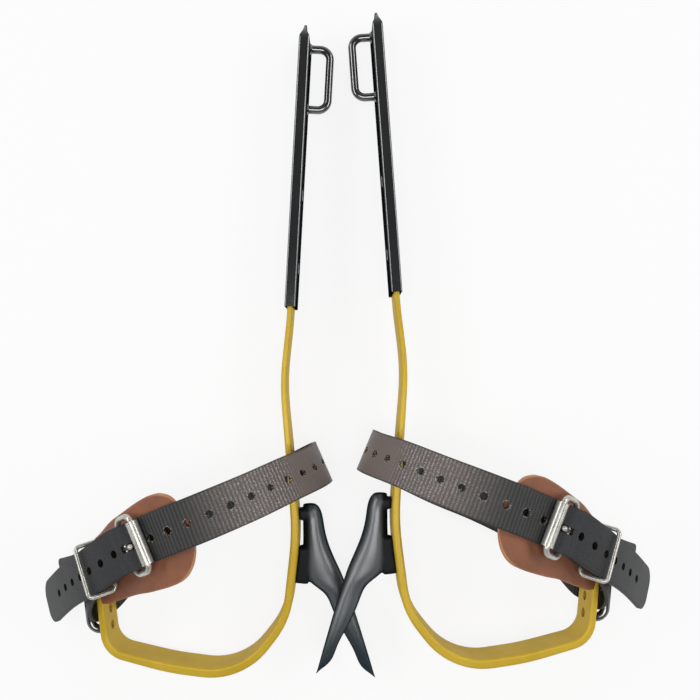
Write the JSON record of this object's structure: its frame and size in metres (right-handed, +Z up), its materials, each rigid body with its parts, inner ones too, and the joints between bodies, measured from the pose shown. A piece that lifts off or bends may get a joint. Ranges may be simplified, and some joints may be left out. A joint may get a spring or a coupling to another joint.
{
  "type": "tree climbing spikes",
  "caption": "Pair of leg irons with sliding upper sleeves, bolted gaffs, stirrups and buckled webbing foot straps with leather pads, for climbing trees and poles.",
  "frame": {"origin": "on the ground under the middle of the pair's bounding box, the pair lying flat with crossed gaffs", "axes": "+Z up from the ground, +Y along the legs towards the sleeve tops, +X to the right climber"},
  "size_m": [0.37, 0.4006, 0.0839],
  "materials": {
    "gold_paint": "gloss gold enamel on bar steel",
    "black_coat": "semi-gloss black coat on steel",
    "forged_steel": "satin blue-black forged steel",
    "plated_screw": "plated steel fasteners",
    "webbing": "coated woven webbing, dark grey",
    "leather": "brown harness leather with a lighter raw edge",
    "nickel_wire": "nickel plated wire"
  },
  "bodies": {
    "root": {"left_shank": "gold_paint", "left_gaff": "forged_steel", "left_gaff_screws": "plated_screw", "left_foot_strap_loop": "black_coat", "left_foot_strap": "webbing", "left_leather_pad": "leather", "left_buckle_frame": "nickel_wire", "left_strap_keeper": "nickel_wire", "left_pad_rivets": "plated_screw", "right_shank": "gold_paint", "right_gaff": "forged_steel", "right_gaff_screws": "plated_screw", "right_foot_strap_loop": "black_coat", "right_foot_strap": "webbing", "right_leather_pad": "leather", "right_buckle_frame": "nickel_wire", "right_strap_keeper": "nickel_wire", "right_pad_rivets": "plated_screw"},
    "left_upper": {"left_sleeve": "black_coat", "left_sleeve_screws": "plated_screw", "left_calf_strap_loop": "black_coat"},
    "left_roller": {"left_buckle_roller": "nickel_wire"},
    "left_tongue": {"left_buckle_tongue": "nickel_wire"},
    "right_upper": {"right_sleeve": "black_coat", "right_sleeve_screws": "plated_screw", "right_calf_strap_loop": "black_coat"},
    "right_roller": {"right_buckle_roller": "nickel_wire"},
    "right_tongue": {"right_buckle_tongue": "nickel_wire"}
  },
  "joints": [
    {"name": "left_sleeve_slide", "type": "slide", "parent": "root", "child": "left_upper", "axis": [0.0541, 0.9985, 0], "range_m": [0, 0.0381]},
    {"name": "left_roller_spin", "type": "hinge", "parent": "root", "child": "left_roller", "pos_m": [-0.10891, -0.1059, 0.0698], "axis": [0.4054, -0.9099, 0.0874], "continuous": true},
    {"name": "left_tongue_swing", "type": "hinge", "parent": "root", "child": "left_tongue", "pos_m": [-0.11796, -0.1107, 0.06179], "axis": [0.4054, -0.9099, 0.0874], "range_deg": [0, 8]},
    {"name": "right_sleeve_slide", "type": "slide", "parent": "root", "child": "right_upper", "axis": [-0.0706, 0.9971, -0.0296], "range_m": [0, 0.0381]},
    {"name": "right_roller_spin", "type": "hinge", "parent": "root", "child": "right_roller", "pos_m": [0.10898, -0.09496, 0.07653], "axis": [0.3892, 0.9133, -0.1201], "continuous": true},
    {"name": "right_tongue_swing", "type": "hinge", "parent": "root", "child": "right_tongue", "pos_m": [0.118, -0.09985, 0.06856], "axis": [0.3892, 0.9133, -0.1201], "range_deg": [0, 8]}
  ]
}
